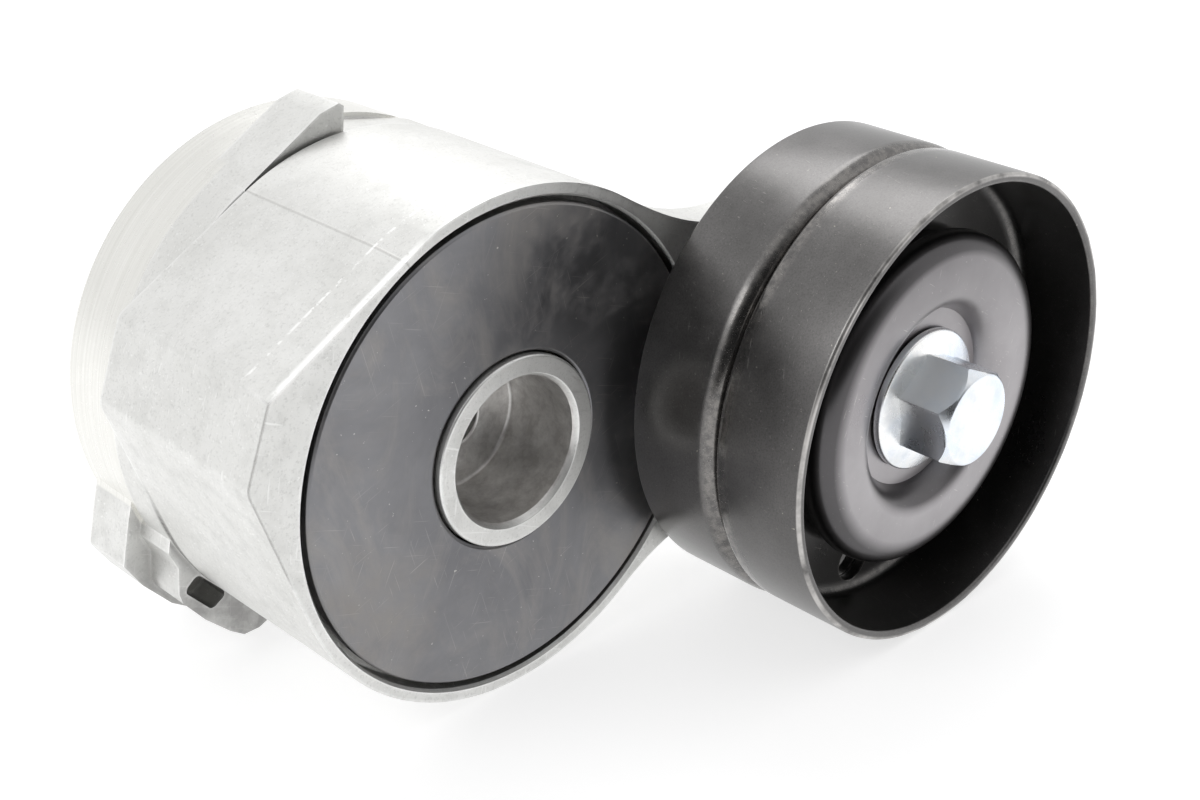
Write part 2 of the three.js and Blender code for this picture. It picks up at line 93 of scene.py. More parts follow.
# Arm
CUP_R = 40.2
CUP_FRONT = -57.9
CUP_REAR = -22.0
RECESS_R = 38.2
RECESS_FLOOR = -53.0
FRONT_WALL = -49.0
CAVITY_R = 34.4
SKIRT_R = 36.2
SKIRT_END = -13.0
ARM_HUB_R = 20.4
ARM_HUB_BORE = 17.2
ARM_HUB_END = ARM_HIGH.y
EAR_UPPER = (-41.4, 23.2)
EAR_LOWER = (-46.1, 10.9)
NECK_AT = 57 * DEG
NECK_HANDLE = 14.0
PLATE_REAR = -50.0
PLATE_R = ARM_HIGH.x - HUB[0]
PLATE_AT = 97 * DEG
BOSS_R = 13.0
BOSS_FRONT = ARM_LOW.y
THREAD_END = -42.0
BOLT_HOLE_R = 5.2
ARM_TRAVEL = 60 * DEG
STOP_FROM = -100 * DEG
STOP_TO = -80 * DEG

# Pulley
RIM_FRONT = FRONT_SHELL_LOW.y
RIM_REAR = REAR_SHELL_HIGH.y
RIM_FRONT_R = (FRONT_SHELL_HIGH.x - FRONT_SHELL_LOW.x) / 2
RIM_REAR_R = (REAR_SHELL_HIGH.x - REAR_SHELL_LOW.x) / 2
SEAM = (FRONT_SHELL_HIGH.y + REAR_SHELL_LOW.y) / 2
RIM_WALL = 1.6
WEB = 1.7
HUB_R = 25.4
HUB_BORE = 23.8
WEB_HOLES = 6
WEB_HOLE_R = 3.6
WEB_HOLE_PITCH_R = 31.2
WEB_HOLE_FIRST = -99 * DEG

# Spring
WIRE_R = 3.1
COIL_R = 28.5
COIL_TURNS = 4.75
COIL_STARTS_AT = 20 * DEG

FINE = 192
MEDIUM = 96


# ------------------------------------------------------------------ mesh helpers


def new_piece(name, bm):
    """A mesh object from a bmesh drawn in millimetres, with its normals turned outwards."""
    bmesh.ops.remove_doubles(bm, verts=bm.verts, dist=1e-5)
    bmesh.ops.recalc_face_normals(bm, faces=bm.faces)
    bmesh.ops.scale(bm, vec=(MM, MM, MM), verts=bm.verts)
    mesh = bpy.data.meshes.new(name)
    bm.to_mesh(mesh)
    bm.free()
    piece = bpy.data.objects.new(name, mesh)
    bpy.context.scene.collection.objects.link(piece)
    return piece


def rounded(corners, closed=True, steps=3):
    """An outline of (a, b) points from (a, b, radius) corners, each corner rounded by its own radius."""
    points = []
    count = len(corners)
    for i, (a, b, radius) in enumerate(corners):
        here = Vector((a, b))
        if radius <= 0 or (not closed and i in (0, count - 1)):
            points.append(here)
            continue
        back = Vector(corners[i - 1][:2]) - here
        on = Vector(corners[(i + 1) % count][:2]) - here
        room = 0.49 * min(back.length, on.length)
        back.normalize()
        on.normalize()
        half = back.angle(on) / 2
        if half > 88 * DEG:
            points.append(here)
            continue
        cut = min(radius / math.tan(half), room)
        true_radius = cut * math.tan(half)
        centre = here + (back + on).normalized() * (true_radius / math.sin(half))
        start = here + back * cut - centre
        end = here + on * cut - centre
        for k in range(steps + 1):
            spoke = start.lerp(end, k / steps).normalized() * true_radius
            points.append(centre + spoke)
    return points


def on_circle(radius, angle, centre=PIVOT):
    return (centre[0] + radius * math.cos(angle), centre[1] + radius * math.sin(angle))


def arc(centre, radius, start, end):
    """Points about every 2 degrees along an arc, both ends included."""
    count = max(2, round(abs(end - start) / (2 * DEG)))
    return [on_circle(radius, start + (end - start) * i / count, centre) for i in range(count + 1)]


def bezier(p0, p1, p2, p3, count=16):
    """Points along a cubic curve, both ends included."""
    points = []
    for i in range(count + 1):
        t = i / count
        s = 1 - t
        weights = (s * s * s, 3 * s * s * t, 3 * s * t * t, t * t * t)
        points.append(tuple(sum(w * p[k] for w, p in zip(weights, (p0, p1, p2, p3))) for k in (0, 1)))
    return points


def turned(name, corners, axis=PIVOT, segments=FINE, steps=3):
    """A closed body turned about a line along Y, from (radius, y, corner radius) corners."""
    on_axis = corners[0][0] < 1e-6 and corners[-1][0] < 1e-6
    outline = rounded(corners, closed=not on_axis, steps=steps)
    bm = bmesh.new()
    rings = []
    for r, y in outline:
        if r < 1e-6:
            rings.append([bm.verts.new((axis[0], y, axis[1]))] * segments)
            continue
        spokes = [on_circle(r, 2 * math.pi * k / segments, axis) for k in range(segments)]
        rings.append([bm.verts.new((x, y, z)) for x, z in spokes])
    pairs = list(zip(rings, rings[1:]))
    if not on_axis:
        pairs.append((rings[-1], rings[0]))
    for one, two in pairs:
        for k in range(segments):
            n = (k + 1) % segments
            loop = list(dict.fromkeys((one[k], one[n], two[n], two[k])))
            if len(loop) > 2:
                bm.faces.new(loop)
    return new_piece(name, bm)


def post(name, radius, y0, y1, axis=PIVOT, segments=FINE):
    """A plain cylinder along Y."""
    return turned(name, [(0, y0, 0), (radius, y0, 0), (radius, y1, 0), (0, y1, 0)], axis, segments)


def prism(name, outline, y0, y1):
    """An (x, z) outline pushed along Y."""
    bm = bmesh.new()
    front = [bm.verts.new((x, y0, z)) for x, z in outline]
    rear = [bm.verts.new((x, y1, z)) for x, z in outline]
    count = len(outline)
    bm.faces.new(front)
    bm.faces.new(list(reversed(rear)))
    for k in range(count):
        n = (k + 1) % count
        bm.faces.new((front[k], front[n], rear[n], rear[k]))
    return new_piece(name, bm)


def slab(name, outline, z0, z1):
    """An (x, y) outline pushed along Z."""
    bm = bmesh.new()
    low = [bm.verts.new((x, y, z0)) for x, y in outline]
    high = [bm.verts.new((x, y, z1)) for x, y in outline]
    count = len(outline)
    bm.faces.new(low)
    bm.faces.new(list(reversed(high)))
    for k in range(count):
        n = (k + 1) % count
        bm.faces.new((low[k], low[n], high[n], high[k]))
    return new_piece(name, bm)


def sector(inner, outer, start, end):
    """The outline of a sector of a ring."""
    return arc(PIVOT, outer, start, end) + arc(PIVOT, inner, end, start)


def bake_modifiers(piece):
    """Replaces the mesh with what its modifiers make of it."""
    graph = bpy.context.evaluated_depsgraph_get()
    mesh = bpy.data.meshes.new_from_object(piece.evaluated_get(graph))
    piece.modifiers.clear()
    piece.data = mesh
    return piece


def weld(piece):
    """Merges vertices that lie closer than 3 micrometres."""
    distance = 0.003 * MM
    bm = bmesh.new()
    bm.from_mesh(piece.data)
    bmesh.ops.remove_doubles(bm, verts=bm.verts, dist=distance)
    bmesh.ops.dissolve_degenerate(bm, edges=bm.edges, dist=distance)
    bm.to_mesh(piece.data)
    bm.free()
    return piece


def boolean(piece, tools, operation):
    """Joins the tools to the piece or cuts them out of it, and deletes them."""
    for tool in tools:
        modifier = piece.modifiers.new("boolean", "BOOLEAN")
        modifier.operation = operation
        modifier.solver = "EXACT"
        modifier.object = tool
        bake_modifiers(piece)
        weld(piece)
        bpy.data.objects.remove(tool)
    return piece


def join(piece, *tools):
    return boolean(piece, tools, "UNION")


def cut(piece, *tools):
    return boolean(piece, tools, "DIFFERENCE")


def soften_edges(piece, width):
    """Rounds every edge sharper than 32 degrees."""
    modifier = piece.modifiers.new("bevel", "BEVEL")
    modifier.limit_method = "ANGLE"
    modifier.angle_limit = 32 * DEG
    modifier.width = width * MM
    modifier.segments = 3
    modifier.use_clamp_overlap = True
    return bake_modifiers(piece)


def smooth(piece):
    """Smooth shading, kept crisp across edges sharper than 35 degrees."""
    mesh = piece.data
    mesh.polygons.foreach_set("use_smooth", [True] * len(mesh.polygons))
    mesh.set_sharp_from_angle(angle=35 * DEG)
    return piece


def weighted(piece):
    """Normals that follow the large faces, so that small rounds don't shade the flats beside them."""
    modifier = piece.modifiers.new("normals", "WEIGHTED_NORMAL")
    modifier.keep_sharp = True
    modifier.weight = 80
    return piece


# ------------------------------------------------------------------ material helpers


class Finish:
    """A procedural material under construction: a Principled shader and the nodes that feed it."""

    def __init__(self, name, **values):
        self.material = bpy.data.materials.new(name)
        self.material.use_nodes = True
        self.tree = self.material.node_tree
        self.shader = self.tree.nodes["Principled BSDF"]
        for socket, value in values.items():
            self.shader.inputs[socket.replace("_", " ")].default_value = value
        self.where = self.tree.nodes.new("ShaderNodeTexCoord").outputs["Object"]

    def node(self, kind, **settings):
        made = self.tree.nodes.new(kind)
        for name, value in settings.items():
            setattr(made, name, value)
        return made

    def feed(self, made, **inputs):
        for name, value in inputs.items():
            self.put(made.inputs[name.replace("_", " ")], value)
        return made

    def put(self, socket, value):
        if isinstance(value, bpy.types.NodeSocket):
            self.tree.links.new(value, socket)
        else:
            socket.default_value = value

    def stretched(self, scale):
        """Object coordinates stretched by a scale for each axis."""
        made = self.node("ShaderNodeMapping")
        self.feed(made, Vector=self.where, Scale=scale)
        return made.outputs["Vector"]

    def noise(self, scale, detail=4, rough=0.55, vector=None, distort=0):
        made = self.node("ShaderNodeTexNoise")
        self.feed(made, Vector=vector or self.where, Scale=scale, Detail=detail)
        self.feed(made, Roughness=rough, Distortion=distort)
        return made.outputs["Fac"]

    def cells(self, scale):
        made = self.node("ShaderNodeTexVoronoi")
        self.feed(made, Vector=self.where, Scale=scale)
        return made.outputs["Distance"]

    def band(self, value, low, high, out_low=0.0, out_high=1.0):
        """Maps low..high onto out_low..out_high, clamped."""
        made = self.node("ShaderNodeMapRange")
        for i, v in enumerate((value, low, high, out_low, out_high)):
            self.put(made.inputs[i], v)
        return made.outputs["Result"]

    def math(self, operation, a, b=0.0):
        made = self.node("ShaderNodeMath", operation=operation)
        self.put(made.inputs[0], a)
        self.put(made.inputs[1], b)
        return made.outputs[0]

    def blend(self, factor, a, b):
        made = self.node("ShaderNodeMix", data_type="RGBA")
        self.put(made.inputs["Factor"], factor)
        for socket, value in ((made.inputs[6], a), (made.inputs[7], b)):
            self.put(socket, value if isinstance(value, bpy.types.NodeSocket) else (*value, 1))
        return made.outputs[2]

    def all_of(self, *masks):
        """The product of some masks."""
        made = masks[0]
        for mask in masks[1:]:
            made = self.math("MULTIPLY", made, mask)
        return made

    def over(self, colour, mask, amount, shade):
        """A shade laid over a colour where the mask is 1."""
        return self.blend(self.math("MULTIPLY", mask, amount), colour, shade)

    def bump(self, height, strength, distance, normal=None):
        made = self.node("ShaderNodeBump")
        self.feed(made, Height=height, Strength=strength, Distance=distance * MM)
        if normal is not None:
            self.put(made.inputs["Normal"], normal)
        return made.outputs["Normal"]

    def axis(self, letter):
        """One object coordinate, in metres."""
        made = self.node("ShaderNodeSeparateXYZ")
        self.put(made.inputs[0], self.where)
        return made.outputs[letter]

    def away(self, letter, place):
        """Distance from a plane across one axis, in metres."""
        return self.math("ABSOLUTE", self.math("SUBTRACT", self.axis(letter), place))

    def radius(self, centre):
        """Distance from a line along Y, in metres."""
        made = self.node("ShaderNodeMapping")
        self.feed(made, Vector=self.where, Scale=(1, 0, 1))
        made.inputs["Location"].default_value = (-centre[0] * MM, 0, -centre[1] * MM)
        length = self.node("ShaderNodeVectorMath", operation="LENGTH")
        self.put(length.inputs[0], made.outputs["Vector"])
        return length.outputs["Value"]

    def worn_edges(self, radius):
        """1 on the object's edges, 0 on its flats."""
        bevel = self.node("ShaderNodeBevel", samples=4)
        bevel.inputs["Radius"].default_value = radius * MM
        flat = self.node("ShaderNodeNewGeometry").outputs["Normal"]
        dot = self.node("ShaderNodeVectorMath", operation="DOT_PRODUCT")
        self.put(dot.inputs[0], bevel.outputs["Normal"])
        self.put(dot.inputs[1], flat)
        return self.band(dot.outputs["Value"], 0.995, 0.93)

    def corners(self, distance):
        """1 deep in a corner or gap, 0 in the open."""
        made = self.node("ShaderNodeAmbientOcclusion", samples=4)
        made.inputs["Distance"].default_value = distance * MM
        return self.band(made.outputs["AO"], 0.80, 0.30)

    def facing(self, direction, low, high):
        """1 where the surface faces a direction, fading from the high to the low cosine."""
        dot = self.node("ShaderNodeVectorMath", operation="DOT_PRODUCT")
        self.put(dot.inputs[0], self.node("ShaderNodeNewGeometry").outputs["Normal"])
        self.put(dot.inputs[1], direction)
        return self.band(dot.outputs["Value"], low, high)

    def done(self, colour=None, roughness=None, normal=None, metallic=None):
        given = {"Base Color": colour, "Roughness": roughness, "Normal": normal, "Metallic": metallic}
        for socket, value in given.items():
            if value is not None:
                self.put(self.shader.inputs[socket], value)
        return self.material


def scratches(f, width, length, turns, rarity):
    """Fine straight marks, width and length in mm, with one set for each (x, y, z) turn in degrees."""
    marks = None
    for turn in turns:
        made = f.node("ShaderNodeMapping", vector_type="TEXTURE")
        made.inputs["Rotation"].default_value = [a * DEG for a in turn]
        made.inputs["Scale"].default_value = (length / width, 1, 1)
        made.inputs["Location"].default_value = [0.01 * a for a in turn]
        f.put(made.inputs["Vector"], f.where)
        line = f.band(f.noise(0.5 / (width * MM), 1, 0.5, made.outputs["Vector"]), rarity, rarity + 0.03)
        marks = line if marks is None else f.math("MAXIMUM", marks, line)
    return marks


# ------------------------------------------------------------------ materials


def mark_ear(f, colour, normal, crease_at):
    """The parting line, the rubbed chamfer beside it, a painted highlight on the ear's lip and painted
    shade along its front edge.
    """
    side = f.node("ShaderNodeVectorMath", operation="DOT_PRODUCT")
    f.put(side.inputs[0], f.where)
    side.inputs[1].default_value = (-math.sin(crease_at), 0, math.cos(crease_at))
    near = f.band(f.math("ABSOLUTE", side.outputs["Value"]), 0.00030, 0.00006)
    near = f.math("MULTIPLY", near, f.band(f.axis("Z"), 0.030, 0.0305))
    colour = f.over(colour, near, 0.34, (0.36, 0.355, 0.34))
    normal = f.bump(near, 0.5, 0.06, normal)
    rubbed = f.band(f.away("Y", -0.0515), 0.00030, 0.00012)
    outwards = (math.cos(crease_at), 0, math.sin(crease_at))
    rubbed = f.all_of(rubbed, f.facing(outwards, 0.96, 0.98), f.band(f.noise(900, 3, 0.6), 0.46, 0.54))
    colour = f.over(colour, rubbed, 0.9, (0.98, 0.98, 0.97))
    # Painted highlight: the ear's front lip on its upper flat is painted near white.
    lip_highlight = f.all_of(f.band(f.axis("Y"), -0.0567, -0.0572), f.band(f.noise(500, 3, 0.6), 0.30, 0.42))
    lip_highlight = f.all_of(lip_highlight, f.facing(outwards, 0.30, 0.55))
    lip_highlight = f.all_of(lip_highlight, f.band(f.axis("X"), -0.013, -0.018), f.band(f.axis("Z"), 0.0226, 0.0234))
    colour = f.blend(lip_highlight, colour, (1.0, 1.0, 0.99))
    # Painted shade: a dark line along the ear's front edges, below its upper corner.
    ear_front_shade = f.all_of(f.band(f.axis("X"), -0.0402, -0.0412), f.band(f.axis("Z"), 0.0228, 0.0222))
    ear_front_shade = f.all_of(ear_front_shade, f.worn_edges(0.6), f.band(f.axis("Y"), -0.0560, -0.0566))
    colour = f.over(colour, ear_front_shade, 0.8, (0.20, 0.195, 0.185))
    return colour, normal


def mark_case(f, colour, rough, normal, machined_from):
    """The turned band behind machined_from, the foot's front face darkened by stain and painted shade, and
    the scuffed socket floor.
    """
    turned_part = f.band(f.axis("Y"), (machined_from - 0.1) * MM, (machined_from + 0.1) * MM)
    from_pivot = f.radius(PIVOT)
    turned_part = f.all_of(turned_part, f.band(from_pivot, 0.0390, 0.0393))
    turned_part = f.all_of(turned_part, f.band(from_pivot, 0.0403, 0.0401))
    lines = f.noise(1, 3, 0.7, f.stretched((30, 3000, 30)))
    bright = f.blend(f.band(lines, 0.3, 0.7), (0.76, 0.755, 0.72), (0.87, 0.865, 0.835))
    colour = f.blend(turned_part, colour, bright)
    rough = f.math("SUBTRACT", rough, f.math("MULTIPLY", turned_part, 0.10))
    normal = f.bump(f.math("MULTIPLY", lines, turned_part), 0.40, 0.04, normal)
    # Partly stain, partly painted shade: the foot's lower front faces are darkened, blotchy with noise, but
    # not in the pocket.
    foot = f.all_of(f.band(from_pivot, 0.0398, 0.0406), f.band(f.axis("Z"), -0.019, -0.029))
    foot = f.all_of(foot, f.band(f.noise(210, 5, 0.65), 0.34, 0.60, 0.55, 1.0))
    foot = f.all_of(foot, f.facing((0, -1, 0), -0.2, 0.6))
    pocket = f.band(f.away("Y", -0.0140), 0.0006, 0.0003)
    pocket = f.all_of(pocket, f.facing((0, -1, 0), 0.8, 0.9))
    foot = f.all_of(foot, f.band(pocket, 0.0, 1.0, 1.0, 0.0))
    colour = f.over(colour, foot, 0.84, (0.27, 0.265, 0.26))
    socket = f.all_of(f.band(from_pivot, 0.01178, 0.01165), f.band(f.axis("Y"), -0.0432, -0.0436))
    scuff = scratches(f, 0.5, 5.0, [(15, 70, 35), (60, 0, 20)], 0.60)
    stain = f.blend(f.band(f.noise(330, 4, 0.65), 0.38, 0.66), (0.60, 0.585, 0.57), (0.88, 0.87, 0.855))
    stain = f.over(stain, scuff, 0.5, (0.75, 0.74, 0.72))
    colour = f.blend(socket, colour, stain)
    return colour, rough, normal


def cast_aluminium(name, machined_from=None, crease_at=None):
    """Die-cast aluminium, with painted shade in its corners.

    machined_from (mm along Y) is where the case's turned band starts, and brings the case's own marks.
    crease_at is the angle of the arm's parting line, and brings the marks round the ear.
    """
    f = Finish(name, Metallic=1.0)
    cloud = f.noise(45, 6, 0.62)
    mottle = f.noise(260, 4, 0.65)
    grain = f.noise(2100, 3, 0.7)
    pits = f.band(f.cells(520), 0.16, 0.07)
    pits = f.math("MULTIPLY", pits, f.band(f.noise(130, 3), 0.52, 0.62))
    light_marks = scratches(f, 0.22, 5.0, [(0, 25, 0), (20, 100, 15), (70, 10, 60)], 0.70)
    nicks = f.band(f.noise(520, 2, 0.6), 0.745, 0.77)
    edges = f.math("MULTIPLY", f.worn_edges(0.8), f.band(f.noise(420, 3, 0.7), 0.30, 0.52))
    colour = f.blend(f.band(cloud, 0.32, 0.70), (0.71, 0.71, 0.69), (0.83, 0.83, 0.815))
    colour = f.over(colour, f.band(mottle, 0.48, 0.70), 0.26, (0.52, 0.52, 0.505))
    colour = f.over(colour, f.band(grain, 0.54, 0.68), 0.36, (0.45, 0.45, 0.435))
    # Painted shade: the colour darkens deep in corners and gaps, broken up by noise.
    corner_shade = f.math("MULTIPLY", f.corners(5), f.band(f.noise(180, 5, 0.7), 0.30, 0.56, 0.45, 1.0))
    colour = f.over(colour, corner_shade, 0.4, (0.30, 0.295, 0.285))
    colour = f.over(colour, f.math("MAXIMUM", light_marks, nicks), 0.38, (0.93, 0.93, 0.92))
    colour = f.over(colour, edges, 0.75, (0.97, 0.97, 0.96))
    # A dark line at the cup's joint with the case, kept to its lower side: partly a dark joint, partly
    # painted shade.
    joint_and_shade = f.band(f.away("Y", -0.0217), 0.0016, 0.0007)
    joint_and_shade = f.all_of(joint_and_shade, f.band(f.axis("Z"), -0.003, -0.012), f.band(f.axis("X"), 0.0, -0.006))
    joint_and_shade = f.all_of(joint_and_shade, f.band(grain, 0.30, 0.55, 0.55, 0.9))
    colour = f.blend(joint_and_shade, colour, (0.13, 0.125, 0.12))
    rough = f.band(mottle, 0.3, 0.7, 0.42, 0.52)
    shine = f.math("MAXIMUM", f.math("MAXIMUM", light_marks, nicks), edges)
    rough = f.math("SUBTRACT", rough, f.math("MULTIPLY", shine, 0.14))
    normal = f.bump(pits, 0.30, 0.08)
    normal = f.bump(mottle, 0.16, 0.12, normal)
    normal = f.bump(grain, 0.30, 0.035, normal)
    normal = f.bump(light_marks, 0.15, 0.03, normal)
    if crease_at is not None:
        colour, normal = mark_ear(f, colour, normal, crease_at)
    if machined_from is not None:
        colour, rough, normal = mark_case(f, colour, rough, normal, machined_from)
    return f.done(colour, rough, normal)


def black_coat(name, worn_front=None):
    """Satin black electrocoat over steel, with dust and, on the rim's front corner, coat worn to grey."""
    f = Finish(name, Metallic=0.92, Coat_Weight=0.3, Coat_Roughness=0.30)
    cloud = f.noise(60, 5, 0.62)
    peel = f.noise(900, 3, 0.55)
    fine = f.noise(3600, 2, 0.6)
    dust = f.band(f.noise(1500, 2, 0.5), 0.745, 0.775)
    dust = f.math("MULTIPLY", dust, f.band(f.noise(90, 3), 0.40, 0.60))
    marks = scratches(f, 0.10, 3.0, [(0, 30, 0), (40, 0, 75), (10, 120, 30)], 0.735)
    edges = f.math("MULTIPLY", f.worn_edges(0.5), f.band(f.noise(600, 3, 0.7), 0.42, 0.60))
    colour = f.blend(f.band(cloud, 0.32, 0.70), (0.105, 0.102, 0.100), (0.165, 0.160, 0.158))
    inside = f.band(f.radius(HUB), (RIM_FRONT_R - 1.2) * MM, (RIM_FRONT_R - 1.6) * MM)
    shaded = f.all_of(f.corners(30), inside)
    colour = f.over(colour, shaded, 0.85, (0.035, 0.034, 0.033))
    colour = f.over(colour, dust, 0.7, (0.75, 0.70, 0.62))
    colour = f.over(colour, marks, 0.30, (0.50, 0.48, 0.46))
    colour = f.over(colour, edges, 0.45, (0.55, 0.53, 0.50))
    colour = f.over(colour, f.band(fine, 0.46, 0.66), 0.30, (0.05, 0.048, 0.047))
    seam = f.band(f.away("Y", SEAM * MM), 0.0030, 0.0016)
    seam = f.math("MULTIPLY", seam, f.band(f.radius(HUB), (RIM_FRONT_R - 3) * MM, (RIM_FRONT_R - 2.5) * MM))
    rubbed = f.math("MULTIPLY", seam, f.band(f.noise(700, 4, 0.7), 0.40, 0.60))
    colour = f.over(colour, rubbed, 0.42, (0.36, 0.34, 0.32))
    rough = f.band(cloud, 0.3, 0.7, 0.26, 0.36)
    rough = f.math("SUBTRACT", rough, f.math("MULTIPLY", seam, 0.11))
    rough = f.math("ADD", rough, f.math("MULTIPLY", f.math("MAXIMUM", dust, marks), 0.2))
    if worn_front is not None:
        corner = f.band(f.axis("Y"), (worn_front + 0.50) * MM, (worn_front + 0.32) * MM)
        outside = f.band(f.radius(HUB), (RIM_FRONT_R - 0.75) * MM, (RIM_FRONT_R - 0.45) * MM)
        worn = f.all_of(corner, outside, f.band(f.noise(160, 4, 0.6), 0.34, 0.58))
        colour = f.over(colour, worn, 0.8, (0.66, 0.64, 0.62))
    normal = f.bump(peel, 0.32, 0.03)
    normal = f.bump(fine, 0.22, 0.010, normal)
    return f.done(colour, rough, normal)


def plate_coat(name):
    """Black front plate, smudged and crossed by fine scratches."""
    f = Finish(name, Metallic=0.95)
    cloud = f.noise(38, 5, 0.65, None, 0.4)
    smear = f.noise(70, 6, 0.72, f.stretched((1.0, 1.0, 0.5)), 1.2)
    marks = scratches(f, 0.10, 4.5, [(0, 20, 0), (0, 75, 0), (0, 118, 0), (0, 160, 0)], 0.735)
    patch = f.band(f.noise(45, 3, 0.6), 0.42, 0.62)
    specks = f.band(f.noise(1500, 2, 0.5), 0.745, 0.775)
    colour = f.blend(f.band(cloud, 0.3, 0.7), (0.185, 0.185, 0.195), (0.265, 0.265, 0.275))
    colour = f.over(colour, f.band(smear, 0.48, 0.74), 0.6, (0.36, 0.34, 0.32))
    colour = f.over(colour, f.math("MULTIPLY", marks, patch), 0.34, (0.60, 0.58, 0.55))
    colour = f.over(colour, specks, 0.6, (0.8, 0.78, 0.74))
    smudge = f.band(f.noise(33, 5, 0.7, None, 0.8), 0.50, 0.66)
    smudge = f.all_of(smudge, f.band(f.noise(420, 4, 0.7), 0.34, 0.62, 0.45, 1.0))
    colour = f.over(colour, smudge, 0.5, (0.33, 0.305, 0.28))
    rough = f.band(smear, 0.35, 0.75, 0.29, 0.42)
    rough = f.math("ADD", rough, f.math("MULTIPLY", smudge, 0.12))
    metallic = f.math("SUBTRACT", 0.95, f.math("MULTIPLY", smudge, 0.28))
    normal = f.bump(f.noise(1100, 3, 0.6), 0.13, 0.015)
    normal = f.bump(marks, 0.15, 0.02, normal)
    return f.done(colour, rough, normal, metallic)


def shield_coat(name, centre):
    """Dark grey satin pressed sheet with faint turning marks, a painted reflection of the dark rim on its
    shoulder and upper part, and painted shade in its dish.
    """
    f = Finish(name, Metallic=0.95)
    cloud = f.noise(80, 4, 0.6)
    rings = f.node("ShaderNodeTexNoise", noise_dimensions="1D")
    f.put(rings.inputs["W"], f.radius(centre))
    f.feed(rings, Scale=2600.0, Detail=2.0)
    specks = f.band(f.noise(1500, 2, 0.5), 0.735, 0.765)
    marks = scratches(f, 0.10, 2.5, [(0, 35, 0), (0, 110, 0)], 0.735)
    colour = f.blend(f.band(cloud, 0.3, 0.7), (0.34, 0.325, 0.335), (0.42, 0.405, 0.415))
    colour = f.over(colour, f.math("MAXIMUM", specks, marks), 0.5, (0.78, 0.75, 0.72))
    across = f.radius(centre)
    # Painted reflection of the dark rim: the shoulder is darkened, and the upper part more faintly.
    shoulder = f.band(across, 0.0228, 0.0250)
    height = f.math("SUBTRACT", f.axis("Z"), centre[1] * MM)
    shoulder = f.math("MAXIMUM", shoulder, f.math("MULTIPLY", f.band(height, 0.006, 0.024), 0.55))
    colour = f.over(colour, shoulder, 0.85, (0.055, 0.053, 0.055))
    # Painted shade: the dish's upward-facing wall is darkened.
    bowl_shade = f.math("MULTIPLY", f.band(across, 0.0205, 0.0195), f.facing((0.15, 0, 0.99), 0.12, 0.50))
    colour = f.over(colour, bowl_shade, 0.75, (0.05, 0.048, 0.05))
    rough = f.band(cloud, 0.3, 0.7, 0.27, 0.33)
    normal = f.bump(rings.outputs["Fac"], 0.05, 0.008)
    normal = f.bump(f.noise(2600, 2, 0.5), 0.10, 0.008, normal)
    return f.done(colour, rough, normal)


def zinc_plate(name):
    """Bright zinc plate with a cool tint, light handling marks, and painted light and shade on the hex
    sides.
    """
    f = Finish(name, Metallic=1.0)
    cloud = f.noise(240, 5, 0.65)
    tint = f.noise(95, 3, 0.6)
    fine = f.noise(2200, 3, 0.7)
    marks = scratches(f, 0.12, 2.0, [(0, 30, 0), (70, 15, 40)], 0.70)
    colour = f.blend(f.band(tint, 0.36, 0.60), (0.82, 0.89, 0.98), (0.98, 0.98, 0.97))
    colour = f.over(colour, f.band(cloud, 0.5, 0.72), 0.3, (0.50, 0.55, 0.62))
    colour = f.over(colour, marks, 0.5, (0.97, 0.97, 0.97))
    sides = f.facing((0, -1, 0), 0.85, 0.55)
    # Painted light and shade: hex sides facing up and left are lighter, rougher and less metallic; sides
    # facing left are darker.
    lit = f.math("MULTIPLY", sides, f.facing((-0.60, 0, 0.80), 0.80, 0.93))
    shaded_side = f.math("MULTIPLY", sides, f.facing((-0.99, 0, -0.12), 0.80, 0.93))
    colour = f.over(colour, lit, 0.5, (0.86, 0.93, 1.0))
    colour = f.over(colour, shaded_side, 0.55, (0.34, 0.36, 0.39))
    rough = f.math("ADD", f.band(cloud, 0.3, 0.7, 0.20, 0.34), f.math("MULTIPLY", lit, 0.30))
    normal = f.bump(fine, 0.30, 0.02)
    normal = f.bump(f.noise(800, 3, 0.6), 0.25, 0.04, normal)
    return f.done(colour, rough, normal, f.math("SUBTRACT", 1.0, f.math("MULTIPLY", lit, 0.5)))


def bare_steel(name, shade=0.6, rough_low=0.18, rough_high=0.34):
    """Ground or drawn steel with fine cloudy marks."""
    f = Finish(name, Metallic=1.0)
    cloud = f.noise(200, 4, 0.6)
    fine = f.noise(3000, 3, 0.7)
    dark = [shade * k for k in (0.86, 0.87, 0.89)]
    colour = f.blend(f.band(cloud, 0.3, 0.7), dark, (shade, shade, shade))
    colour = f.blend(f.math("MULTIPLY", f.band(fine, 0.6, 0.75), 0.3), colour, [shade * 0.6] * 3)
    rough = f.band(cloud, 0.3, 0.7, rough_low, rough_high)
    return f.done(colour, rough, f.bump(fine, 0.2, 0.015))


def moulded(name, low, high, rough_low=0.45, rough_high=0.62):
    """Moulded plastic or rubber with a faint mottled skin."""
    f = Finish(name, Metallic=0.0)
    cloud = f.noise(150, 4, 0.6)
    skin = f.noise(1800, 3, 0.6)
    colour = f.blend(f.band(cloud, 0.3, 0.7), low, high)
    colour = f.blend(f.math("MULTIPLY", f.band(skin, 0.6, 0.75), 0.25), colour, [c * 0.6 for c in low])
    rough = f.band(cloud, 0.3, 0.7, rough_low, rough_high)
    return f.done(colour, rough, f.bump(skin, 0.3, 0.03))


# ------------------------------------------------------------------ castings


def tangent_angle(point, radius, side):
    """Where a tangent from a point outside a circle about the pivot touches it."""
    return math.atan2(point[1], point[0]) + side * math.acos(radius / math.hypot(*point))


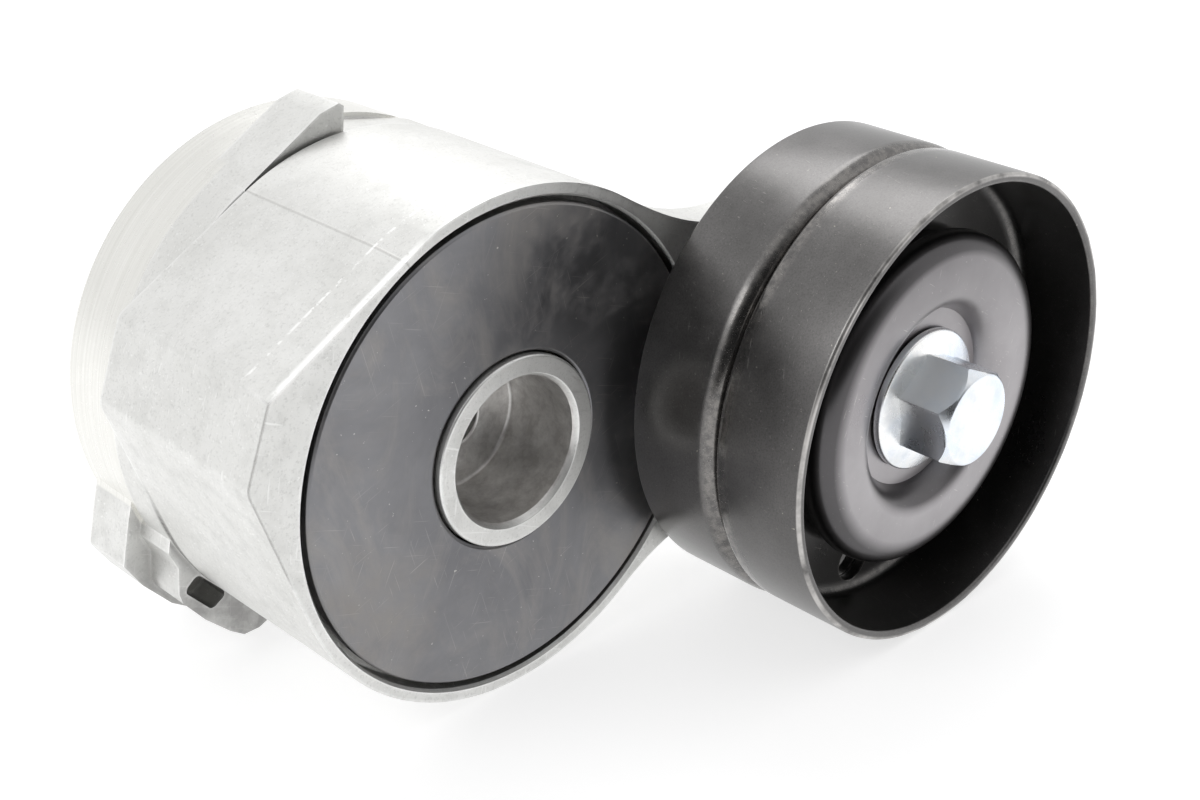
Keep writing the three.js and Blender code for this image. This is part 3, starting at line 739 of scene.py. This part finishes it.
def ear():
    """The ear's two corners, each slightly rounded."""
    upper = on_circle(CUP_R, tangent_angle(EAR_UPPER, CUP_R, -1))
    lower = on_circle(CUP_R, tangent_angle(EAR_LOWER, CUP_R, 1))
    corners = [(*upper, 0), (*EAR_UPPER, 2.2), (*EAR_LOWER, 2.6), (*lower, 0)]
    return [tuple(p) for p in rounded(corners, closed=False, steps=5)][1:-1]


def cup_back():
    """The cup's outline from where the neck leaves at the top, round the ear, to where it comes back."""
    upper = tangent_angle(EAR_UPPER, CUP_R, -1)
    lower = tangent_angle(EAR_LOWER, CUP_R, 1)
    return arc(PIVOT, CUP_R, NECK_AT, upper) + ear() + arc(PIVOT, CUP_R, lower, 2 * math.pi - NECK_AT)


def cup_outline():
    return cup_back() + arc(PIVOT, CUP_R, -NECK_AT, NECK_AT)[1:-1]


def arm_outline():
    """The cup's outline drawn out through the neck round the pulley plate."""
    leave = on_circle(CUP_R, NECK_AT)
    handle = on_circle(NECK_HANDLE, NECK_AT - math.pi / 2)
    on_plate = on_circle(PLATE_R, PLATE_AT, HUB)
    back = on_circle(NECK_HANDLE, PLATE_AT - math.pi / 2)
    out = (leave[0] + handle[0], leave[1] + handle[1])
    near = (on_plate[0] - back[0], on_plate[1] - back[1])
    low_plate = on_circle(PLATE_R, -PLATE_AT, HUB)
    low_near = (low_plate[0] - back[0], low_plate[1] + back[1])
    low_out = (out[0], -out[1])
    low_leave = (leave[0], -leave[1])
    points = cup_back()
    points += bezier(low_leave, low_out, low_near, low_plate)[1:]
    points += arc(HUB, PLATE_R, -PLATE_AT, PLATE_AT)[1:]
    points += bezier(on_plate, near, out, leave)[1:-1]
    return points


def neck_rib(z):
    """A triangular rib behind the neck."""
    tip = HUB[0] + 12
    outline = [(30, PLATE_REAR - 1), (tip, PLATE_REAR - 1), (tip - 2, PLATE_REAR + 2), (39, -28), (30, -28)]
    return slab("rib", outline, z - 2, z + 2)


def ear_chamfer():
    """The long shallow chamfer that runs along the ear's upper flat at the front."""
    touch = tangent_angle(EAR_UPPER, CUP_R, -1)
    start = Vector(on_circle(CUP_R, touch))
    end = Vector(EAR_UPPER)
    along = (end - start).normalized()
    out = Vector((math.cos(touch), math.sin(touch)))
    start = start - along * 9
    end = end + along * 5
    bm = bmesh.new()
    loops = []
    for at in (start, end):
        inner = at - out * 0.62
        outer = at + out * 3
        front, rear = CUP_FRONT - 1, CUP_FRONT + 6.4
        loop = [(inner, front), (outer, front), (outer, rear), (at, rear)]
        loops.append([bm.verts.new((p.x, y, p.y)) for p, y in loop])
    one, two = loops
    bm.faces.new(one)
    bm.faces.new(list(reversed(two)))
    for k in range(4):
        n = (k + 1) % 4
        bm.faces.new((one[k], one[n], two[n], two[k]))
    return new_piece("chamfer", bm)


def make_arm():
    arm = prism("arm_casting", cup_outline(), CUP_FRONT, CUP_REAR)
    coil_end = COIL_STARTS_AT - COIL_TURNS * 2 * math.pi
    gap_from = STOP_FROM - ARM_TRAVEL - 0.5 * DEG
    gap_to = STOP_TO + 0.5 * DEG
    join(
        arm,
        prism("neck", arm_outline(), CUP_FRONT, PLATE_REAR),
        post("skirt", SKIRT_R, CUP_REAR - 1, SKIRT_END),
        neck_rib(HUB[1] + 17),
        neck_rib(HUB[1] - 17),
    )
    cut(
        arm,
        prism("skirt_gap", sector(CAVITY_R - 1, SKIRT_R + 1, gap_from, gap_to), CUP_REAR, SKIRT_END + 1),
        turned(
            "recess",
            [
                (0, CUP_FRONT - 1, 0),
                (RECESS_R + 1.35, CUP_FRONT - 1, 0),
                (RECESS_R + 0.55, CUP_FRONT - 0.2, 0),
                (RECESS_R, CUP_FRONT + 0.55, 0),
                (RECESS_R, RECESS_FLOOR, 0),
                (0, RECESS_FLOOR, 0),
            ],
        ),
        post("cavity", CAVITY_R, FRONT_WALL, 0),
        ear_chamfer(),
    )
    shoulder = sector(25, 31.8, coil_end - 15 * DEG, coil_end - DEG)
    join(
        arm,
        post("hub", ARM_HUB_R, FRONT_WALL - 1, ARM_HUB_END, segments=MEDIUM),
        prism("abutment", shoulder, FRONT_WALL - 1, FRONT_WALL + 7),
        post("boss", BOSS_R, BOSS_FRONT, CUP_FRONT + 1, HUB, MEDIUM),
        post("rear_boss", 11, PLATE_REAR - 1, THREAD_END, HUB, MEDIUM),
    )
    cut(
        arm,
        post("bore", ARM_HUB_BORE, CUP_FRONT, 0, segments=MEDIUM),
        post("bolt_hole", BOLT_HOLE_R, BOSS_FRONT - 1, THREAD_END + 1, HUB, MEDIUM),
    )
    return soften_edges(arm, 0.45)


def make_case():
    case = turned(
        "case_casting",
        [
            (MOUNT_HOLE_R, 0, 0.4),
            (22, 0, 0.5),
            (23, -2, 0.8),
            (33, -2, 0.8),
            (34, 0, 0.5),
            (CASE_R - 0.4, 0, 1.2),
            (CASE_R - 0.25, BAND_FRONT, 0.1),
            (CASE_R, BAND_FRONT - 0.25, 0.1),
            (CASE_R, CASE_FRONT, 0.4),
            (CASE_BORE, CASE_FRONT, 0.4),
            (CASE_BORE, CASE_FLOOR, 2),
            (TUBE_R + 2, CASE_FLOOR, 1),
            (TUBE_R, CASE_FLOOR - 2, 1),
            (TUBE_R, TUBE_FRONT, 0.35),
            (SOCKET_R + 0.75, TUBE_FRONT, 0.2),
            (SOCKET_R + 0.1, TUBE_FRONT + 0.9, 0.2),
            (SOCKET_R - 0.3, SOCKET_FLOOR, 0.6),
            (MOUNT_HOLE_R, SOCKET_FLOOR, 0.4),
        ],
    )
    wedge = arc(PIVOT, 38, 91 * DEG, 122 * DEG)
    wedge += [on_circle(CASE_R, 117.5 * DEG), (-4.6, 43.5), (-1, CASE_HIGH.z), (-0.1, CASE_HIGH.z - 0.6)]
    front_foot = arc(PIVOT, 38, -112 * DEG, -160 * DEG) + [
        (-37, -18.6), (-35.6, -21.8), (-36, -26.4), (-35.5, -28.2), (-32, -32.7),
        (-27.8, -36.8), (-25.3, -38.6), (-22.4, -38.6), (-20, -37.6),
    ]
    rear_foot = arc(PIVOT, 38, -118 * DEG, -166 * DEG) + [
        (-39, -17), (-40.4, -23), (-37.6, -27.6), (-33, -32.9), (-26.4, -37.4),
        (-21.6, -39),
    ]
    start = COIL_STARTS_AT + DEG
    stop = sector(CAVITY_R, CASE_BORE + 1, STOP_FROM, STOP_TO)
    join(
        case,
        prism("wedge", wedge, CASE_FRONT, -11),
        prism("foot", front_foot, -20, -11),
        prism("rear_foot", rear_foot, -12, -2),
        prism("stop", stop, -20, CASE_FLOOR + 1),
        prism("abutment", sector(25, 31.8, start, start + 14 * DEG), CASE_FLOOR - 7, CASE_FLOOR + 1),
    )
    pocket = [(40.5, -143.4), (43.9, -143.2), (43.9, -134.2), (40.5, -133)]
    pocket = rounded([(*on_circle(radius, angle * DEG), 0.9) for radius, angle in pocket])
    dowel_x = (DOWEL_LOW.x + DOWEL_HIGH.x) / 2
    step = arc(PIVOT, CASE_R + 2, 60 * DEG, 90.3 * DEG)
    for radius, angle in ((CASE_R - 1.3, 90.3), (CASE_R - 1.2, 82), (CASE_R, 64)):
        step.append(on_circle(radius, angle * DEG))
    cut(
        case,
        prism("step", step, CASE_FRONT - 1, -12.6),
        prism("pocket", [tuple(p) for p in pocket], -21, -14),
        post("dowel_hole", 3.3, DOWEL_LOW.y - 0.3, 1, (dowel_x, 0), MEDIUM),
    )
    return soften_edges(case, 0.4)


# ------------------------------------------------------------------ turned and formed pieces


def make_front_plate():
    inner = TUBE_R + 0.3
    outer = PLATE_HIGH.x
    return turned(
        "front_plate_sheet",
        [
            (inner, PLATE_LOW.y + 0.25, 0.25),
            (inner + 0.5, PLATE_LOW.y, 0.4),
            (outer - 0.35, PLATE_LOW.y, 0.3),
            (outer, PLATE_LOW.y + 0.35, 0.3),
            (outer, PLATE_HIGH.y, 0.2),
            (inner, PLATE_HIGH.y, 0.2),
        ],
        segments=FINE,
        steps=4,
    )


def web_cutters():
    for i in range(WEB_HOLES):
        at = on_circle(WEB_HOLE_PITCH_R, WEB_HOLE_FIRST + i * 2 * math.pi / WEB_HOLES, HUB)
        yield post("web_hole", WEB_HOLE_R, SEAM - 5, SEAM + 5, at, 40)


def make_shell(name, side):
    """A pressed half of the pulley: side is -1 for the front half and +1 for the rear one."""
    mate = FRONT_SHELL_HIGH.y if side < 0 else REAR_SHELL_LOW.y
    rim_end = RIM_FRONT if side < 0 else RIM_REAR
    rim_r = RIM_FRONT_R if side < 0 else RIM_REAR_R
    hub_end = -85.2 if side < 0 else -70.8
    bend = 1.1 if side < 0 else 3.0
    inside = mate + side * WEB
    shell = turned(
        name,
        [
            (rim_r, rim_end, 0.55),
            (rim_r, mate, bend),
            (HUB_BORE, mate, 1.6),
            (HUB_BORE, hub_end, 0.4),
            (HUB_R, hub_end, 0.4),
            (HUB_R, inside, 1.6),
            (rim_r - RIM_WALL, inside, 2.2),
            (rim_r - RIM_WALL, rim_end, 0.55),
        ],
        HUB,
        FINE,
        steps=6,
    )
    return cut(shell, *web_cutters())


def make_shield():
    floor = -86.0
    sheet = 1.3
    face = SHIELD_LOW.y
    outer = (SHIELD_HIGH.x - SHIELD_LOW.x) / 2
    wall = outer - sheet
    under = face + sheet
    dish_r = outer - 11.6
    crest, crest_handle = (outer - 6.6, face), (outer - 10, face)
    dish = bezier((dish_r - 1.1, floor), (dish_r + 0.4, face + 0.5), crest_handle, crest, 14)
    edge, edge_handle = (outer, face + 3.4), (outer, face + 0.8)
    shoulder = bezier((outer - 5.4, face), (outer - 2.6, face + 0.1), edge_handle, edge, 12)
    inside = bezier((wall, face + 3.6), (wall, face + 2), (outer - 3.4, under), (outer - 5.6, under), 8)
    seat, seat_handle = (dish_r, floor + sheet), (outer - 10.2, floor)
    back = bezier((outer - 7.2, under), (outer - 9.4, under), seat_handle, seat, 10)
    return turned(
        "dust_shield",
        [
            (BOLT_HOLE_R, floor, 0.2),
            *[(r, y, 0) for r, y in dish],
            *[(r, y, 0) for r, y in shoulder],
            (outer, -85.5, 0.3),
            (outer - sheet, -85.5, 0.3),
            *[(r, y, 0) for r, y in inside],
            *[(r, y, 0) for r, y in back],
            (BOLT_HOLE_R, floor + sheet, 0.2),
        ],
        HUB,
        FINE,
        steps=8,
    )


def make_rear_shield():
    outer = (REAR_SHIELD_HIGH.x - REAR_SHIELD_LOW.x) / 2
    return turned(
        "rear_shield",
        [
            (BOLT_HOLE_R, REAR_SHIELD_LOW.y, 0.2),
            (outer, REAR_SHIELD_LOW.y, 0.4),
            (outer, REAR_SHIELD_HIGH.y, 0.4),
            (BOLT_HOLE_R, REAR_SHIELD_HIGH.y, 0.2),
        ],
        HUB,
        FINE,
    )


def make_bolt():
    top = BOLT_LOW.y
    seat = -86.3
    across_flats = 15.0
    corner_r = across_flats / 2 / math.cos(30 * DEG)
    flange_r = (BOLT_HIGH.x - BOLT_LOW.x) / 2
    corners = [on_circle(corner_r, (97.3 + 60 * i) * DEG, HUB) for i in range(6)]
    head = prism("flange_bolt", corners, top, seat - 0.6)
    soften_edges(head, 0.35)
    cap = turned(
        "cap",
        [
            (0, top, 0),
            (across_flats / 2 - 0.2, top, 0.45),
            (corner_r + 0.1, top + 1.9, 0),
            (corner_r + 0.6, top + 3, 0),
            (corner_r + 0.6, seat, 0),
            (0, seat, 0),
        ],
        HUB,
        MEDIUM,
    )
    boolean(head, [cap], "INTERSECT")
    flange = turned(
        "flange",
        [
            (0, seat - 2.1, 0),
            (corner_r - 0.9, seat - 2.1, 0.5),
            (flange_r, seat - 1.3, 0.4),
            (flange_r, seat, 0.3),
            (4.9, seat, 0.1),
            (4.9, BOLT_HIGH.y, 0.8),
            (0, BOLT_HIGH.y, 0),
        ],
        HUB,
        MEDIUM,
    )
    return join(head, flange)


def make_spring():
    """The coil swept from a round wire, its ends cut square."""
    bm = bmesh.new()
    sides = 18
    steps = round(COIL_TURNS * 72)
    rear = SPRING_HIGH.y - WIRE_R
    front = SPRING_LOW.y + WIRE_R
    rings = []
    for i in range(steps + 1):
        t = i / steps
        angle = COIL_STARTS_AT - t * COIL_TURNS * 2 * math.pi
        out = Vector((math.cos(angle), 0, math.sin(angle)))
        centre = out * COIL_R + Vector((0, rear + (front - rear) * t, 0))
        ring = []
        for k in range(sides):
            spin = 2 * math.pi * k / sides
            along = Vector((0, WIRE_R * math.sin(spin), 0))
            ring.append(bm.verts.new(centre + out * (WIRE_R * math.cos(spin)) + along))
        rings.append(ring)
    for one, two in zip(rings, rings[1:]):
        for k in range(sides):
            n = (k + 1) % sides
            bm.faces.new((one[k], one[n], two[n], two[k]))
    bm.faces.new(rings[0])
    bm.faces.new(list(reversed(rings[-1])))
    return new_piece("coil_spring", bm)


# ------------------------------------------------------------------ build and dress


def dress(piece, material, body, node):
    """Gives a made piece its shading, finish and body if it rides one, and hides the CAD node it stands
    for.
    """
    piece.data.materials.clear()
    piece.data.materials.append(material)
    smooth(piece)
    if body:
        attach(piece, body)
    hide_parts(node)
    return piece


CAST = cast_aluminium("cast_arm", crease_at=117.8 * DEG)
CASE_CAST = cast_aluminium("cast_case", BAND_FRONT)
RIM_COAT = black_coat("pulley_coat", RIM_FRONT)
SHELL_COAT = black_coat("rear_shell_coat")
PLATE_COAT = plate_coat("plate_coat")
SHIELD_COAT = shield_coat("shield_coat", HUB)
ZINC = zinc_plate("zinc")
GROUND = bare_steel("ground_steel", 0.62)
WIRE = bare_steel("spring_wire", 0.16, 0.35, 0.5)
NYLON = moulded("nylon", (0.62, 0.58, 0.48), (0.74, 0.70, 0.60))
CAGE = moulded("cage_nylon", (0.06, 0.12, 0.06), (0.10, 0.18, 0.09))
RUBBER = moulded("rubber", (0.012, 0.012, 0.012), (0.03, 0.03, 0.03), 0.55, 0.75)

weighted(dress(make_arm(), CAST, "arm", "arm"))
weighted(dress(make_case(), CASE_CAST, "base", "spring_case"))
dress(make_front_plate(), PLATE_COAT, "base", "front_plate")
dress(make_shell("front_shell", -1), RIM_COAT, "pulley", "pulley_front_shell")
dress(make_shell("rear_shell", 1), SHELL_COAT, "pulley", "pulley_rear_shell")
dress(make_shield(), SHIELD_COAT, "arm", "front_dust_shield")
dress(make_rear_shield(), SHIELD_COAT, "arm", "rear_dust_shield")
dress(make_bolt(), ZINC, "arm", "pulley_bolt")

spring = dress(make_spring(), WIRE, None, "torsion_spring")
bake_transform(spring)

CARRIED = {
    "friction_disc": NYLON,
    "damping_shoe": NYLON,
    "thrust_washer": NYLON,
    "pivot_bushing_front": NYLON,
    "pivot_bushing_rear": NYLON,
    "locating_dowel": GROUND,
    "bearing_inner_ring": GROUND,
    "bearing_outer_ring": GROUND,
    "bearing_sleeve": GROUND,
    "bearing_seal_front": RUBBER,
    "bearing_seal_rear": RUBBER,
    "bearing_cage": CAGE,
    **{f"ball_{i}": GROUND for i in range(1, 8)},
}
for node, material in CARRIED.items():
    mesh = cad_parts[node].data
    mesh.materials.clear()
    mesh.materials.append(material)
    smooth(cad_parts[node])

# ------------------------------------------------------------------ floor, light and camera

FLOOR_Z = ARM_LOW.z - 0.02


def make_floor():
    bm = bmesh.new()
    bmesh.ops.create_grid(bm, x_segments=8, y_segments=8, size=3000)
    bmesh.ops.translate(bm, vec=(0, 0, FLOOR_Z), verts=bm.verts)
    floor = new_piece("floor", bm)
    f = Finish("floor", Roughness=0.6)
    f.shader.inputs["Emission Color"].default_value = (1, 1, 1, 1)
    f.shader.inputs["Emission Strength"].default_value = 0.70
    floor.data.materials.append(f.done(f.blend(f.noise(3, 2), (0.43, 0.43, 0.435), (0.45, 0.45, 0.45))))


def add_area(name, at, towards, size, power):
    light = bpy.data.lights.new(name, "AREA")
    light.shape = "RECTANGLE"
    light.size, light.size_y = size
    light.energy = power
    lamp = bpy.data.objects.new(name, light)
    lamp.location = at
    lamp.rotation_euler = (Vector(towards) - Vector(at)).to_track_quat("-Z", "Y").to_euler()
    bpy.context.scene.collection.objects.link(lamp)


def view_back():
    """The direction from the object to the camera."""
    azimuth, elevation = -44.29 * DEG, 26.95 * DEG
    level = math.cos(elevation)
    return Vector((math.sin(azimuth) * level, -math.cos(azimuth) * level, math.sin(elevation)))


def make_world():
    """A pale surround, dimmer on the camera's side."""
    world = bpy.data.worlds.new("studio")
    bpy.context.scene.world = world
    world.use_nodes = True
    nodes, links = world.node_tree.nodes, world.node_tree.links
    towards = nodes.new("ShaderNodeVectorMath")
    towards.operation = "DOT_PRODUCT"
    links.new(nodes.new("ShaderNodeTexCoord").outputs["Generated"], towards.inputs[0])
    towards.inputs[1].default_value = (-0.50, -0.86, 0.09)
    fade = nodes.new("ShaderNodeMapRange")
    fade.interpolation_type = "SMOOTHSTEP"
    links.new(towards.outputs["Value"], fade.inputs[0])
    for i, value in enumerate((0.34, 0.88, 0.92, 0.04), 1):
        fade.inputs[i].default_value = value
    background = nodes["Background"]
    background.inputs["Color"].default_value = (1, 1, 1, 1)
    links.new(fade.outputs["Result"], background.inputs["Strength"])


def make_camera():
    data = bpy.data.cameras.new("camera")
    data.lens = 56.46
    data.sensor_width = 36
    data.clip_start = 0.01
    camera = bpy.data.objects.new("camera", data)
    camera.location = (-0.16013, -0.23965, 0.13123)
    camera.rotation_euler = (-view_back()).to_track_quat("-Z", "Y").to_euler()
    bpy.context.scene.collection.objects.link(camera)
    bpy.context.scene.camera = camera


make_floor()
make_world()
CENTRE = (0.02, -0.05, 0.0)
add_area("key", (0.40, 0.30, 0.75), CENTRE, (0.5, 0.5), 2.3)
add_area("top_left", (-0.65, 0.05, 0.60), CENTRE, (0.5, 0.3), 1.3)
make_camera()
bpy.context.scene.view_settings.view_transform = "Standard"
